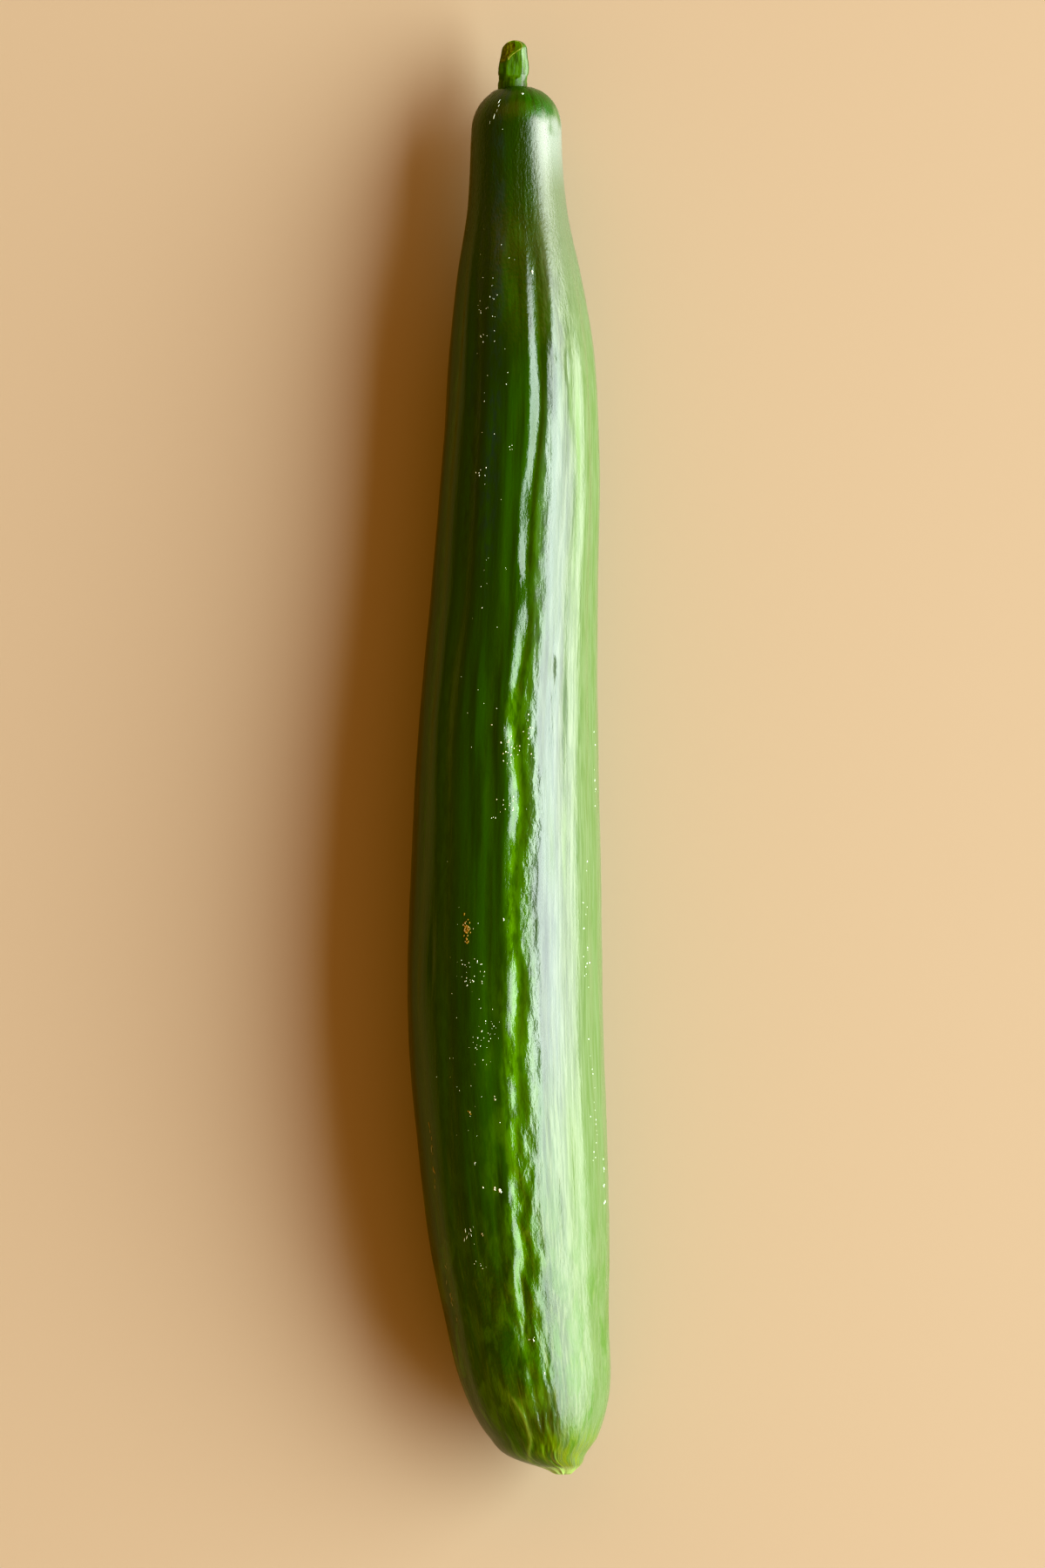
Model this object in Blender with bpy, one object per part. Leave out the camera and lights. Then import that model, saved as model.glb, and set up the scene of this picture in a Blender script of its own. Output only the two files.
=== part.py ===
"""A long greenhouse cucumber with its short cut stem, lying on a surface.

The fruit lies along Y, stem end towards +Y, and rests on a narrow flat spot at z = 0. The origin is on the
surface, under the middle of the whole object.
"""

import math

import bmesh
import bpy
import numpy as np
from mathutils import Vector

MM = 0.001

# The fruit, in millimetres, measured down its length from the shoulder, where the stem joins it.
FRUIT_LENGTH = 317.7
# Each station: distance from the shoulder, radius, sideways place of the middle, gap between the underside and
# the surface. A negative gap is skin pressed flat.
STATIONS = (
    (0.0, 10.3, -0.9, 7.2),
    (12.0, 10.4, -1.3, 7.1),
    (28.0, 11.4, -1.1, 6.5),
    (44.0, 14.2, -0.7, 4.7),
    (60.0, 16.5, -0.1, 2.7),
    (84.0, 18.0, -0.1, 0.8),
    (116.0, 19.1, -1.6, -0.4),
    (148.0, 20.6, -3.1, -0.8),
    (180.0, 21.8, -3.5, -0.85),
    (212.0, 22.4, -3.7, -0.85),
    (244.0, 21.8, -2.1, -0.7),
    (268.0, 20.5, -0.3, 0.0),
    (284.0, 18.7, 1.3, 1.2),
    (300.0, 17.6, 3.5, 2.0),
    (310.0, 17.0, 4.9, 1.9),
    (315.0, 16.8, 6.0, 1.5),
    (317.7, 16.8, 9.4, 1.0),
)
SHOULDER_DEPTH = 10.5  # length of the rounded shoulder
SHOULDER_FULLNESS = 2.15  # 2 is an ellipse, and more is blunter
BLOSSOM_DEPTH = 30.0  # length of the rounded blossom end
BLOSSOM_FULLNESS = 2.3
NUB_RADIUS = 2.7  # the scar where the flower sat
NUB_HEIGHT = 1.5

# Furrows run the whole way down the skin, between broad low ribs. Each has its angle round the fruit at the
# neck, its angle from the middle on, and a depth in millimetres. Angles are in degrees from the top, positive
# towards +X. The crease is the deep one on top.
FURROWS = (
    (1.0, -10.0, 0.24),
    (41.0, 28.0, 0.26),
    (52.0, 39.0, 0.32),
    (67.0, 64.0, 0.30),
    (95.0, 95.0, 0.34),
    (127.0, 127.0, 0.26),
    (-40.0, -41.0, 0.30),
    (-63.0, -63.0, 0.32),
    (-92.0, -93.0, 0.34),
    (-126.0, -126.0, 0.28),
)
FURROW_TURN = (40.0, 140.0)  # where they move over from their first angle to their second
FURROW_WIDTH = 1.9
FURROW_WANDER = ((1.6, 19.0), (0.9, 8.3))  # degrees to each side, and millimetres of length for each radian
CREASE_DEPTH = 0.62
CREASE_WIDTH = 1.7
# The crease wanders: distance from the shoulder, then angle round the fruit.
CREASE_PATH = (
    (28.0, 14.5),
    (40.0, 15.5),
    (58.0, 13.5),
    (78.0, 12.7),
    (90.0, 9.0),
    (98.0, 7.5),
    (112.0, 7.8),
    (124.0, 9.5),
    (134.0, 6.0),
    (146.0, 3.2),
    (156.0, 5.8),
    (166.0, 8.0),
    (178.0, 4.5),
    (194.0, 4.5),
    (208.0, 7.5),
    (218.0, 5.2),
    (234.0, 4.5),
    (246.0, 1.0),
    (268.0, 2.0),
    (278.0, -2.0),
    (290.0, -1.0),
    (304.0, 3.0),
)
LIP_HEIGHT = 0.35  # of the lip on each side of a furrow, as a share of the furrow's depth
LIP_PLACE = 1.9  # its distance from the bottom of the furrow, in furrow widths
RIB_FADE_IN = (20.0, 50.0)  # the neck is smooth
RIB_FADE_OUT = (290.0, 316.0)
RIB_SOFTEN = (130.0, 190.0)  # past here the furrows are shallower, and the crease isn't
RIB_SOFTENED = 0.6
LOBE_HEIGHT = 0.25  # the section is very slightly three-sided, after its three seed chambers
LOBE_TURN = 20.0
# The neck is slightly flattened on top: where round it, how far to each side, how deep, and along which part.
NECK_FLAT_TURN = 5.0
NECK_FLAT_WIDTH = 22.0
NECK_FLAT_DEPTH = 0.5
NECK_FLAT_START = (8.0, 20.0)
NECK_FLAT_END = (50.0, 70.0)
FLAT_HALF_ANGLE = 24.0  # the furrows fade out this near to the resting flat spot

# The stem, in millimetres, measured outwards from the shoulder.
STEM_LENGTH = 10.4
STEM_SINK = 1.6  # how far it is set into the shoulder
STEM_X = -2.3
STEM_LEAN = 0.05  # sideways drift per millimetre of length
STEM_Z = 17.5
# Each station: distance out from the shoulder, radius.
STEM_STATIONS = (
    (-1.6, 3.30),
    (0.2, 3.35),
    (1.4, 3.30),
    (3.4, 3.55),
    (5.2, 3.40),
    (6.8, 3.10),
    (8.2, 2.92),
    (10.4, 2.80),
)
STEM_TIP_DEPTH = 2.2  # length of its rounded tip
STEM_RIBS = (10.0, 66.0, 124.0, 184.0, -118.0, -58.0)  # their angles round it, in degrees
STEM_RIB_HEIGHT = 0.50
STEM_RIB_WIDTH = 17.0  # degrees
# Two flats run along it: the way each faces, in degrees, and its distance from the middle as a share of the
# radius. They start a little way out from the shoulder.
STEM_FLATS = ((6.0, 0.80), (44.0, 0.95))
STEM_FLAT_START = (0.4, 2.6)
# Two slanted faces on the tip, each a point from the stem's middle and a direction: the dry one that faces up
# and to the left, then the fresh one to its right.
CUT_FACES = (
    ((-0.9, 8.4, 1.35), (-0.55, 0.42, 0.72)),
    ((0.7, 5.8, 3.2), (-0.24, 0.50, 0.83)),
)
SOCKET_GAP = 0.3  # clearance round the sunk part of the stem

FRUIT_SIDES = 84
SHOULDER_RINGS = 9
BODY_RINGS = 38
BLOSSOM_RINGS = 12
NUB_RING_RADII = (0.9, 1.7, 2.2, 2.7, 3.3)
STEM_SIDES = 48
STEM_RINGS = 16

SKIN_COLOUR = (0.035, 0.095, 0.012, 1.0)
STEM_COLOUR = (0.085, 0.180, 0.020, 1.0)


def curve_through(points):
    """A smooth function through (place, value) points, a cubic between each two, level beyond the ends."""
    at = np.array([p[0] for p in points], float)
    value = np.array([p[1] for p in points], float)
    slope = np.gradient(value, at)

    def curve(x):
        x = np.clip(np.asarray(x, float), at[0], at[-1])
        i = np.clip(np.searchsorted(at, x) - 1, 0, len(at) - 2)
        step = at[i + 1] - at[i]
        t = (x - at[i]) / step
        rise = value[i] * (2 * t**3 - 3 * t**2 + 1) + value[i + 1] * (3 * t**2 - 2 * t**3)
        bend = slope[i] * (t**3 - 2 * t**2 + t) + slope[i + 1] * (t**3 - t**2)
        return rise + step * bend

    return curve


def smoothstep(low, high, x):
    t = np.clip((x - low) / (high - low), 0.0, 1.0)
    return t * t * (3 - 2 * t)


def round_end(depth_in, depth, fullness=2.0):
    """The share of full radius at a depth into a rounded end."""
    t = np.clip(depth_in / depth, 0.0, 1.0)
    return (1 - (1 - t) ** fullness) ** (1 / fullness)


def angle_between(angle, centre):
    """The signed turn from centre to angle, in radians, the short way round."""
    return (angle - centre + math.pi) % (2 * math.pi) - math.pi


RADIUS = curve_through([(s[0], s[1]) for s in STATIONS])
SIDEWAYS = curve_through([(s[0], s[2]) for s in STATIONS])
GAP = curve_through([(s[0], s[3]) for s in STATIONS])
CREASE = curve_through(CREASE_PATH)


def furrow(across, depth, width):
    """A soft valley with a low lip on each side."""
    valley = np.exp(-((across / width) ** 2))
    lips = np.exp(-(((np.abs(across) - LIP_PLACE * width) / width) ** 2))
    return depth * (LIP_HEIGHT * lips - valley)


def furrow_angle(distance, at_neck, further_down):
    """Where a furrow runs round the fruit, in degrees, with its slight wander."""
    angle = at_neck + (further_down - at_neck) * smoothstep(*FURROW_TURN, distance)
    for count, (swing, length) in enumerate(FURROW_WANDER, start=1):
        angle = angle + swing * np.sin(distance / length + count * further_down)
    return angle


def neck_flat(distance, angle):
    """How deep the flattened top of the neck is, in millimetres."""
    turn = angle_between(angle, math.radians(NECK_FLAT_TURN)) / math.radians(NECK_FLAT_WIDTH)
    along = smoothstep(*NECK_FLAT_START, distance) * (1 - smoothstep(*NECK_FLAT_END, distance))
    return NECK_FLAT_DEPTH * np.exp(-(turn**2)) * along


def relief(distance, angle):
    """How far the skin stands proud of its round section, in millimetres."""
    radius = RADIUS(distance)
    ribs = np.zeros_like(distance + angle)
    for at_neck, further_down, depth in FURROWS:
        degrees = furrow_angle(distance, at_neck, further_down)
        across = radius * angle_between(angle, np.radians(degrees))
        ribs += furrow(across, depth, FURROW_WIDTH)
    ribs *= 1 - (1 - RIB_SOFTENED) * smoothstep(*RIB_SOFTEN, distance)
    crease = radius * angle_between(angle, np.radians(CREASE(distance)))
    ribs += furrow(crease, CREASE_DEPTH, CREASE_WIDTH)
    fade = smoothstep(*RIB_FADE_IN, distance) * (1 - smoothstep(*RIB_FADE_OUT, distance))
    underside = angle_between(angle, math.pi) / math.radians(FLAT_HALF_ANGLE)
    fade = fade * (1 - np.exp(-(underside**4)))
    lobes = LOBE_HEIGHT * np.cos(3 * (angle - math.radians(LOBE_TURN))) * radius / RADIUS(212.0)
    return ribs * fade + lobes * (1 - np.exp(-(underside**2))) - neck_flat(distance, angle)


def fruit_point(distance, angle):
    """The skin at a distance from the shoulder and an angle round the fruit, as x, y, z in millimetres."""
    shoulder = round_end(distance, SHOULDER_DEPTH, SHOULDER_FULLNESS)
    blossom = round_end(FRUIT_LENGTH - distance, BLOSSOM_DEPTH, BLOSSOM_FULLNESS)
    reach = RADIUS(distance) * shoulder * blossom
    out = reach + relief(distance, angle) * smoothstep(0.0, 6.0, reach)
    nub = NUB_HEIGHT * np.exp(-((reach / NUB_RADIUS) ** 3)) * (distance > FRUIT_LENGTH / 2)
    x = SIDEWAYS(distance) + out * np.sin(angle)
    y = -(distance + nub)
    z = RADIUS(distance) + GAP(distance) + out * np.cos(angle)
    return np.stack([x + 0 * y, y + 0 * x, np.maximum(z, 0.0)], axis=-1)


def depths_in(shares, depth, fullness):
    """How deep into a rounded end it reaches each share of its full radius."""
    return depth * (1 - (1 - shares**fullness) ** (1 / fullness))


def ring_distances():
    """Distances of the rings down the fruit, closer together where the ends curve in and over the nub."""
    shoulder = np.sin(np.linspace(0, math.pi / 2, SHOULDER_RINGS + 1)[1:])
    blossom = np.sin(np.linspace(0, math.pi / 2, BLOSSOM_RINGS + 1)[1:])
    nub = np.array(NUB_RING_RADII) / RADIUS(FRUIT_LENGTH)
    blossom = np.concatenate([nub, blossom[blossom > 1.2 * nub[-1]]])
    top = depths_in(shoulder, SHOULDER_DEPTH, SHOULDER_FULLNESS)
    end = depths_in(blossom, BLOSSOM_DEPTH, BLOSSOM_FULLNESS)
    middle = np.linspace(SHOULDER_DEPTH, FRUIT_LENGTH - BLOSSOM_DEPTH, BODY_RINGS + 1)[1:-1]
    return np.concatenate([top, middle, FRUIT_LENGTH - end[::-1]])


def closed_tube(name, rings, first_pole, last_pole):
    """A mesh object from rings of points, each end closed by a fan to its pole. Units: millimetres in."""
    count, sides, _ = rings.shape
    points = [*rings.reshape(-1, 3), first_pole, last_pole]
    faces = []
    for i in range(count - 1):
        for j in range(sides):
            k = (j + 1) % sides
            faces.append((i * sides + j, i * sides + k, (i + 1) * sides + k, (i + 1) * sides + j))
    first, last = count * sides, count * sides + 1
    for j in range(sides):
        k = (j + 1) % sides
        faces.append((first, k, j))
        faces.append((last, (count - 1) * sides + j, (count - 1) * sides + k))
    mesh = bpy.data.meshes.new(name)
    mesh.from_pydata([Vector(p) * MM for p in points], [], faces)
    shape = bmesh.new()
    shape.from_mesh(mesh)
    bmesh.ops.recalc_face_normals(shape, faces=shape.faces)
    shape.to_mesh(mesh)
    shape.free()
    mesh.shade_smooth()
    made = bpy.data.objects.new(name, mesh)
    bpy.context.collection.objects.link(made)
    return made


def stem_outline():
    return curve_through(STEM_STATIONS)


def stem_rib_relief(angle):
    """The stem's ribs and the grooves between them, in millimetres from its outline."""
    ribs = np.zeros_like(angle)
    for degrees in STEM_RIBS:
        turn = np.degrees(angle_between(angle, math.radians(degrees)))
        ribs += np.exp(-((turn / STEM_RIB_WIDTH) ** 2))
    return STEM_RIB_HEIGHT * (ribs - 0.5)


def stem_flat(out, angle, facing, share):
    """How far out a flat lets the stem reach, in millimetres from its middle."""
    turn = angle_between(angle, math.radians(facing))
    start = 1 - smoothstep(*STEM_FLAT_START, out)
    return share * stem_outline()(out) / np.maximum(np.cos(turn), 0.2) + start


def stem_rings(grow, start, stop, count, rounded):
    """Rings of the ribbed stem from start to stop millimetres out, grown by a clearance."""
    outline = stem_outline()
    out = np.linspace(start, stop, count)[:, None]
    if rounded:
        steps = np.linspace(0, math.pi / 2, 6)[1:-1]
        tip = STEM_LENGTH - STEM_TIP_DEPTH * (1 - np.sin(steps))
        out = np.concatenate([np.linspace(start, STEM_LENGTH - STEM_TIP_DEPTH, count), tip])[:, None]
    angle = np.linspace(0, 2 * math.pi, STEM_SIDES, endpoint=False)[None, :]
    ribs = stem_rib_relief(angle) * smoothstep(0.2, 3.0, out)
    radius = outline(out) + ribs + grow
    if rounded:
        for facing, share in STEM_FLATS:
            radius = np.minimum(radius, stem_flat(out, angle, facing, share))
        radius = radius * round_end(STEM_LENGTH - out, STEM_TIP_DEPTH)
    x = STEM_X + STEM_LEAN * out + radius * np.sin(angle)
    y = out + 0 * angle
    z = STEM_Z + radius * np.cos(angle)
    return np.stack([x, y, z], axis=-1)


def stem_pole(out):
    return (STEM_X + STEM_LEAN * out, out, STEM_Z)


def make_fruit():
    """The whole fruit, with a shallow socket in its shoulder for the stem."""
    distance = ring_distances()
    angle = np.linspace(0, 2 * math.pi, FRUIT_SIDES, endpoint=False)
    rings = fruit_point(distance[:, None], angle[None, :])
    shoulder = fruit_point(np.array(0.0), np.array(0.0))
    blossom = fruit_point(np.array(FRUIT_LENGTH), np.array(0.0))
    return closed_tube("fruit", rings, shoulder, blossom)


def make_socket_cutter():
    """What the socket takes out of the shoulder: the sunk stem, a little larger all round."""
    rings = stem_rings(SOCKET_GAP, -STEM_SINK - SOCKET_GAP, 3.0, 5, rounded=False)
    cutter = closed_tube("socket_cutter", rings, stem_pole(-STEM_SINK - SOCKET_GAP), stem_pole(3.0))
    cutter.hide_render = True
    cutter.display_type = "WIRE"
    return cutter


def make_stem():
    """The ribbed stem, rounded at its tip, with its two flats and its two slanted faces."""
    rings = stem_rings(0.0, -STEM_SINK, STEM_LENGTH, STEM_RINGS, rounded=True)
    stem = closed_tube("stem", rings, stem_pole(-STEM_SINK), stem_pole(STEM_LENGTH))
    shape = bmesh.new()
    shape.from_mesh(stem.data)
    for point, direction in CUT_FACES:
        cut = bmesh.ops.bisect_plane(
            shape,
            geom=[*shape.verts, *shape.edges, *shape.faces],
            plane_co=(Vector((STEM_X, 0.0, STEM_Z)) + Vector(point)) * MM,
            plane_no=Vector(direction),
            clear_outer=True,
        )
        edges = [g for g in cut["geom_cut"] if isinstance(g, bmesh.types.BMEdge)]
        bmesh.ops.edgeloop_fill(shape, edges=edges)
    bmesh.ops.recalc_face_normals(shape, faces=shape.faces)
    shape.to_mesh(stem.data)
    shape.free()
    stem.data.set_sharp_from_angle(angle=math.radians(40))
    return stem


def cut_socket(fruit, cutter):
    cut = fruit.modifiers.new("stem_socket", "BOOLEAN")
    cut.operation = "DIFFERENCE"
    cut.object = cutter


def centre_on_origin(made):
    """Moves the meshes so that the middle of their shared box is over the origin."""
    corners = [v.co for o in made if not o.hide_render for v in o.data.vertices]
    middle_x = (min(c.x for c in corners) + max(c.x for c in corners)) / 2
    middle_y = (min(c.y for c in corners) + max(c.y for c in corners)) / 2
    for o in made:
        for v in o.data.vertices:
            v.co -= Vector((middle_x, middle_y, 0.0))


def paint(made, name, colour, roughness):
    material = bpy.data.materials.new(name)
    material.use_nodes = True
    shader = material.node_tree.nodes["Principled BSDF"]
    shader.inputs["Base Color"].default_value = colour
    shader.inputs["Roughness"].default_value = roughness
    shader.inputs["Metallic"].default_value = 0.0
    made.data.materials.append(material)


def main():
    for old in list(bpy.data.objects):
        bpy.data.objects.remove(old)
    fruit = make_fruit()
    stem = make_stem()
    cutter = make_socket_cutter()
    centre_on_origin([fruit, stem, cutter])
    cut_socket(fruit, cutter)
    paint(fruit, "cucumber_skin", SKIN_COLOUR, 0.32)
    paint(stem, "stem_skin", STEM_COLOUR, 0.45)


main()
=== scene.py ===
"""A long greenhouse cucumber with its short cut stem, lying on a plain pale floor, seen from straight above.

The fruit and the stem are rebuilt as fine meshes from the same formulas as the solids that they stand for.
Shapes are worked out in millimetres, with the shoulder at distance 0 and angles in degrees from the top,
positive towards +X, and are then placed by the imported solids' boxes.
"""

import math

import bmesh
import bpy
import numpy as np
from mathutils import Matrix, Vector


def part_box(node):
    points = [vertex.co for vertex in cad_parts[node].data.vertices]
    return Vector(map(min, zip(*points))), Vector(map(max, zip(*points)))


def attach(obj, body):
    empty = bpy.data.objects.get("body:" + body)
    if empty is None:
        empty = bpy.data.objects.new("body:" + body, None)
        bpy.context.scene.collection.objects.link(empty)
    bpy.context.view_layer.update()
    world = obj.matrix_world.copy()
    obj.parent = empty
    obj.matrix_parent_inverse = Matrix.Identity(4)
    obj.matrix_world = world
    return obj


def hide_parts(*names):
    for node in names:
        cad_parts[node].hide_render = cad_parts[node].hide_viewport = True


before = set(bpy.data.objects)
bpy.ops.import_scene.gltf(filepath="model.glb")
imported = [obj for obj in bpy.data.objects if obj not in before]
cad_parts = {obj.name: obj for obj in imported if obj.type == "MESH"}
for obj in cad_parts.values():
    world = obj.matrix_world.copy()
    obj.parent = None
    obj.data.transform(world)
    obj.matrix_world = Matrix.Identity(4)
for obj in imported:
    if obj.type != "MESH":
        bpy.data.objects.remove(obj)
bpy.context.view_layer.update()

MM = 0.001
TURN = 2 * math.pi

# The form of the fruit, as in the solid.
FRUIT_LENGTH = 317.7
# Each station: distance from the shoulder, radius, sideways place of the middle, gap under it.
STATIONS = (
    (0, 10.3, -0.9, 7.2),
    (12, 10.4, -1.3, 7.1),
    (28, 11.4, -1.1, 6.5),
    (44, 14.2, -0.7, 4.7),
    (60, 16.5, -0.1, 2.7),
    (84, 18, -0.1, 0.8),
    (116, 19.1, -1.6, -0.4),
    (148, 20.6, -3.1, -0.8),
    (180, 21.8, -3.5, -0.85),
    (212, 22.4, -3.7, -0.85),
    (244, 21.8, -2.1, -0.7),
    (268, 20.5, -0.3, 0),
    (284, 18.7, 1.3, 1.2),
    (300, 17.6, 3.5, 2),
    (310, 17, 4.9, 1.9),
    (315, 16.8, 6, 1.5),
    (317.7, 16.8, 9.4, 1),
)
SHOULDER_DEPTH, SHOULDER_FULLNESS = 10.5, 2.15
BLOSSOM_DEPTH, BLOSSOM_FULLNESS = 30.0, 2.3
NUB_RADIUS, NUB_HEIGHT = 2.7, 1.5
# Each furrow: its angle at the neck, its angle from the middle on, its depth.
FURROWS = (
    (1, -10, 0.24),
    (41, 28, 0.26),
    (52, 39, 0.32),
    (67, 64, 0.30),
    (95, 95, 0.34),
    (127, 127, 0.26),
    (-40, -41, 0.30),
    (-63, -63, 0.32),
    (-92, -93, 0.34),
    (-126, -126, 0.28),
)
FURROW_TURN = (40.0, 140.0)
FURROW_WIDTH = 1.9
FURROW_WANDER = ((1.6, 19.0), (0.9, 8.3))
CREASE_DEPTH, CREASE_WIDTH = 0.62, 1.7
CREASE_PATH = (
    (28, 14.5),
    (40, 15.5),
    (58, 13.5),
    (78, 12.7),
    (90, 9),
    (98, 7.5),
    (112, 7.8),
    (124, 9.5),
    (134, 6),
    (146, 3.2),
    (156, 5.8),
    (166, 8),
    (178, 4.5),
    (194, 4.5),
    (208, 7.5),
    (218, 5.2),
    (234, 4.5),
    (246, 1),
    (268, 2),
    (278, -2),
    (290, -1),
    (304, 3),
)
LIP_HEIGHT, LIP_PLACE = 0.35, 1.9
# The furrows that show green through the bright band and its painted highlight: angles as in FURROWS, and how
# plainly.
BAND_GROOVES = ((41.0, 28.0, 0.45), (52.0, 39.0, 0.95))
RIB_FADE_IN, RIB_FADE_OUT = (20.0, 50.0), (290.0, 316.0)
RIB_SOFTEN, RIB_SOFTENED = (130.0, 190.0), 0.6
LOBE_HEIGHT, LOBE_TURN = 0.25, 20.0
FLAT_HALF_ANGLE = 24.0
NECK_FLAT_TURN, NECK_FLAT_WIDTH, NECK_FLAT_DEPTH = 5.0, 22.0, 0.5
NECK_FLAT_START, NECK_FLAT_END = (8.0, 20.0), (50.0, 70.0)

# The form of the stem, as in the solid, measured outwards from the shoulder.
STEM_LENGTH, STEM_SINK = 10.4, 1.6
STEM_X, STEM_LEAN, STEM_Z = -2.3, 0.05, 17.5
STEM_STATIONS = (
    (-1.6, 3.30),
    (0.2, 3.35),
    (1.4, 3.30),
    (3.4, 3.55),
    (5.2, 3.40),
    (6.8, 3.10),
    (8.2, 2.92),
    (10.4, 2.80),
)
STEM_TIP_DEPTH = 2.2
STEM_RIBS = (10.0, 66.0, 124.0, 184.0, -118.0, -58.0)
STEM_RIB_HEIGHT, STEM_RIB_WIDTH = 0.50, 17.0
# Flats along it: the way each faces, and its distance from the middle as a share of the radius.
STEM_FLATS = ((6.0, 0.80), (44.0, 0.95))
STEM_FLAT_START, STEM_RIB_START = (0.4, 2.6), (0.2, 3.0)
STEM_LINES = (44, 3.5, 0.035)  # fine lines along it: count, length, height
STEM_FOLDS = (2.2, 1.6, 0.05)  # faint folds round it near the fruit: middle, half length, height
FIBRE_HEIGHT, CUT_EDGE = 0.10, 0.25  # how rough the cut faces are, and how far past their edge they look cut
CHAMFER_LEFT, CHAMFER_RIGHT = (36.0, 42.0), (64.0, 74.0)  # the edge that catches the light, in degrees
# The dry face on the tip, then the fresh one to its right: a point from the stem's middle, and a direction.
CUT_FACES = (
    ((-0.9, 8.4, 1.35), (-0.55, 0.42, 0.72)),
    ((0.7, 5.8, 3.2), (-0.24, 0.50, 0.83)),
)

# Mesh density. The columns lie closer together on top.
FRUIT_SIDES, TOP_CROWDING = 280, 0.4
SHOULDER_RINGS, BODY_RINGS, BLOSSOM_RINGS = 34, 262, 50
STEM_SIDES, STEM_RINGS = 120, 110

# Fine relief that only the visual mesh has. Each layer: cells round the fruit, length of a cell, height.
SWELLS = ((9, 34.0, 0.15), (20, 15.0, 0.07), (38, 8.0, 0.030))
LONG_LINES = ((40, 40.0, 0.055), (72, 28.0, 0.026), (120, 18.0, 0.010))
WRINKLES = ((60, 5.0, 0.150), (96, 2.8, 0.085), (150, 1.8, 0.035))
# In what follows a span is where a change begins and where it is full, as distances from the shoulder.
SMOOTH_SHOULDER, SMOOTH_SPAN = 0.35, (15.0, 60.0)  # the share of swells and lines that the shoulder has
# The wrinkled band: degrees from the crease to its middle, half its width in degrees, and how much nearer the
# crease and wider it is by the blossom end.
WRINKLE_BANK, WRINKLE_BAND = 9.0, 4.8
WRINKLE_SHIFT, WRINKLE_SPREAD, WRINKLE_SHIFT_SPAN = 4.0, 4.0, (225.0, 250.0)
WRINKLE_SPAN, WRINKLES_ELSEWHERE = (70.0, 160.0), 0.10
WRINKLE_GROWTH, WRINKLE_GROWTH_SPAN = 0.5, (235.0, 255.0)
PUCKER_SHARE, PUCKER_GROWTH, PUCKER_GROWTH_SPAN = 0.5, 0.8, (225.0, 250.0)
# Stripes that run beside the crease: place across from it, half width, span where they come in.
PUCKER_STRIPE = (-0.6, 2.4, (55.0, 90.0))
BANK_STRIPE = (2.9, 2.9, (190.0, 230.0))
LINE_STRIPE = (-0.4, 1.3, (116.0, 150.0))
BLOTCH_STRIPE = (-1.0, 5.5, (186.0, 228.0))
GAP_STRIPE = (2.6, 2.2, (64.0, 100.0))
FRINGE_STRIPE = (-0.8, 2.4, (50.0, 70.0))
GLINT_STRIPE = (-1.4, 1.8, (58.0, 80.0))
BANK_RISE = 0.22
# The wider dip beside the crease in the stem half, and the crease's right side there, which is steep.
TROUGH_DEPTH, TROUGH_PLACE, TROUGH_WIDTH = 0.24, -0.4, 2.3
TROUGH_SPAN, TROUGH_FADE, TROUGH_LOST = (62.0, 82.0), (110.0, 126.0), 0.6
STEEP_WIDTH, STEEP_EDGE = 0.9, (0.0, 0.5)
STEEP_SPAN, STEEP_FADE = (48.0, 70.0), (128.0, 150.0)
# Where the skin steps down, and so leans further towards the light:
# distance, half length, angle, half width, step.
SHELVES = (
    (80, 14, 19, 1.6, 0.23),
    (204, 32, 12.5, 2, 0.40),
    (206, 32, 18.5, 1.7, 0.15),
    (254, 28, 8.5, 2.4, 0.56),
    (256, 30, 15, 1.8, 0.16),
    (294, 14, 9, 2.6, 0.56),
)
# How sharp a step is, and in how many half widths the skin rises again.
SHELF_SHARPNESS, SHELF_RETURN = 1.2, 5.0
# A thin raised line on the blossom end: distance, then angle round the fruit.
TIP_LINE = ((298.0, -24.0), (302.0, -17.0), (306.0, -13.6), (311.0, -16.0), (314.5, -28.0), (316.5, -48.0))
TIP_RIDGE, TIP_GROOVE = (0.0, 0.5, 0.16), (1.1, 0.9, -0.18)  # place across that line, width, height
TIP_LINE_SPAN = (298.0, 302.0)
# Where the crease runs shallow: distance, half length, share of its depth that is lost.
CREASE_BREAKS = (
    (116, 4.5, 0.75),
    (143, 4.5, 0.75),
    (154.5, 4.5, 0.45),
    (178, 6, 0.60),
    (192, 9, 0.85),
    (222, 4.5, 0.75),
    (241, 8, 0.75),
)
# Slots and dents: distance, angle, half length, half width, depth.
PITS = (
    (63.4, 25.2, 1.6, 0.45, 0.14),
    (65.6, 36.6, 3, 0.60, 0.24),
    (133.6, 28, 3.4, 0.75, 0.26),
    (200, -50, 6.5, 0.90, 0.22),
    (250, 10.5, 4, 0.70, 0.20),
    (182.5, 20.5, 0.5, 0.45, 0.12),
)
# The dimple that the stem stands in, and the low rim round it.
SEAT_RADIUS, SEAT_DEPTH, SEAT_WALL = 3.75, 0.8, 0.55
SEAT_RIM_PLACE, SEAT_RIM_WIDTH, SEAT_RIM_HEIGHT = 0.8, 0.7, 0.16
SEAT_CENTRED = (2.5, 5.5)  # from this radius to this one, rings change from the stem's middle to the fruit's
NUB_CRATER, NUB_CRATER_WIDTH = 0.55, 1.15
NUB_FOLDS, NUB_FOLD_HEIGHT = 9, 0.13
NUB_FOLDS_IN, NUB_FOLDS_OUT = (0.7, 2.2), (3.2, 6.5)

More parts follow.
